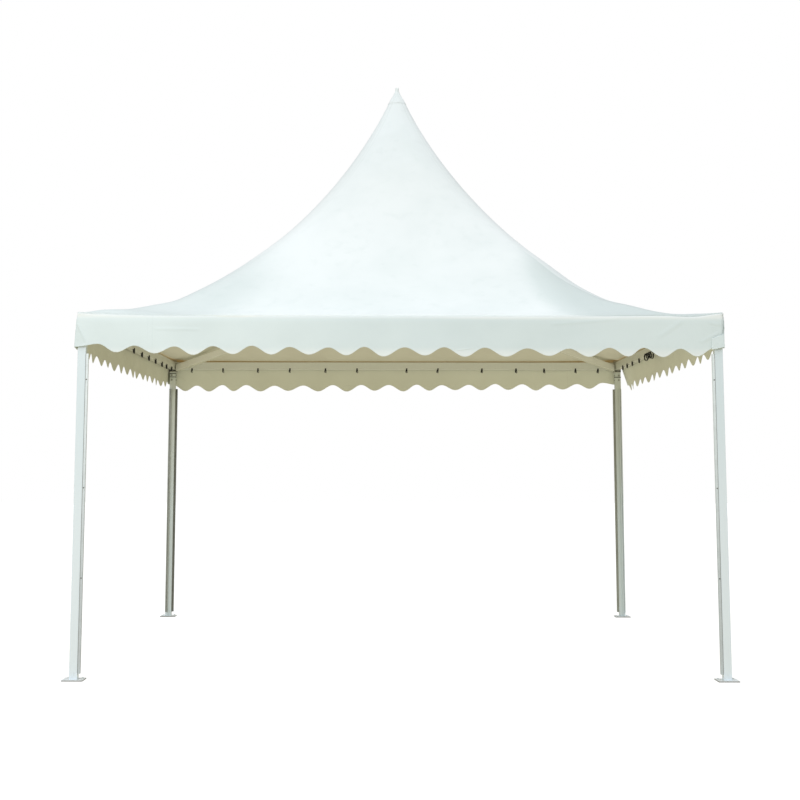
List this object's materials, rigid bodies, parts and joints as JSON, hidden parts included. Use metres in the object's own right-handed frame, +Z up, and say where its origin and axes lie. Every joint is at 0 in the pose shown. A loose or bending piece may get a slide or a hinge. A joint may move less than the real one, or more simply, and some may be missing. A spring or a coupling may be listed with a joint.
{
  "type": "marquee tent",
  "caption": "Square pagoda marquee: peaked fabric roof with scalloped valances on a tubular post-and-beam frame with hip rafters and a king pole.",
  "frame": {"origin": "on the ground under the peak, at the middle of the four base plates", "axes": "+Z up along the king pole; the front faces -Y, and +X is to the right seen from the front"},
  "size_m": [5.097, 5.097, 5.235],
  "materials": {
    "frame_tube": "pale satin mill finish",
    "wall_track": "mill finish, duller than the posts",
    "bracket_steel": "dull galvanised steel",
    "roof_fabric": "white coated polyester with a faint cool tint, semi-matt",
    "valance_fabric": "white coated polyester, semi-matt",
    "cap_fabric": "white coated polyester, welded",
    "strap_webbing": "black woven webbing",
    "bolt_steel": "zinc-plated bolts and washers"
  },
  "bodies": {
    "root": {"post_front_left": "frame_tube", "post_front_right": "frame_tube", "post_back_left": "frame_tube", "post_back_right": "frame_tube", "base_plate_front_left": "bracket_steel", "base_plate_front_right": "bracket_steel", "base_plate_back_left": "bracket_steel", "base_plate_back_right": "bracket_steel", "front_track_left": "wall_track", "front_track_right": "wall_track", "right_track_left": "wall_track", "right_track_right": "wall_track", "back_track_left": "wall_track", "back_track_right": "wall_track", "left_track_left": "wall_track", "left_track_right": "wall_track", "corner_bracket_front_left": "bracket_steel", "corner_bracket_front_right": "bracket_steel", "corner_bracket_back_left": "bracket_steel", "corner_bracket_back_right": "bracket_steel", "eave_beam_front": "frame_tube", "eave_beam_right": "frame_tube", "eave_beam_back": "frame_tube", "eave_beam_left": "frame_tube", "hip_rafter_front_left": "frame_tube", "hip_rafter_front_right": "frame_tube", "hip_rafter_back_left": "frame_tube", "hip_rafter_back_right": "frame_tube", "crown_hub": "bracket_steel", "king_pole": "frame_tube", "peak_cap": "cap_fabric", "roof_panel_front": "roof_fabric", "roof_panel_right": "roof_fabric", "roof_panel_back": "roof_fabric", "roof_panel_left": "roof_fabric", "valance_front": "valance_fabric", "valance_right": "valance_fabric", "valance_back": "valance_fabric", "valance_left": "valance_fabric"}
  },
  "joints": []
}
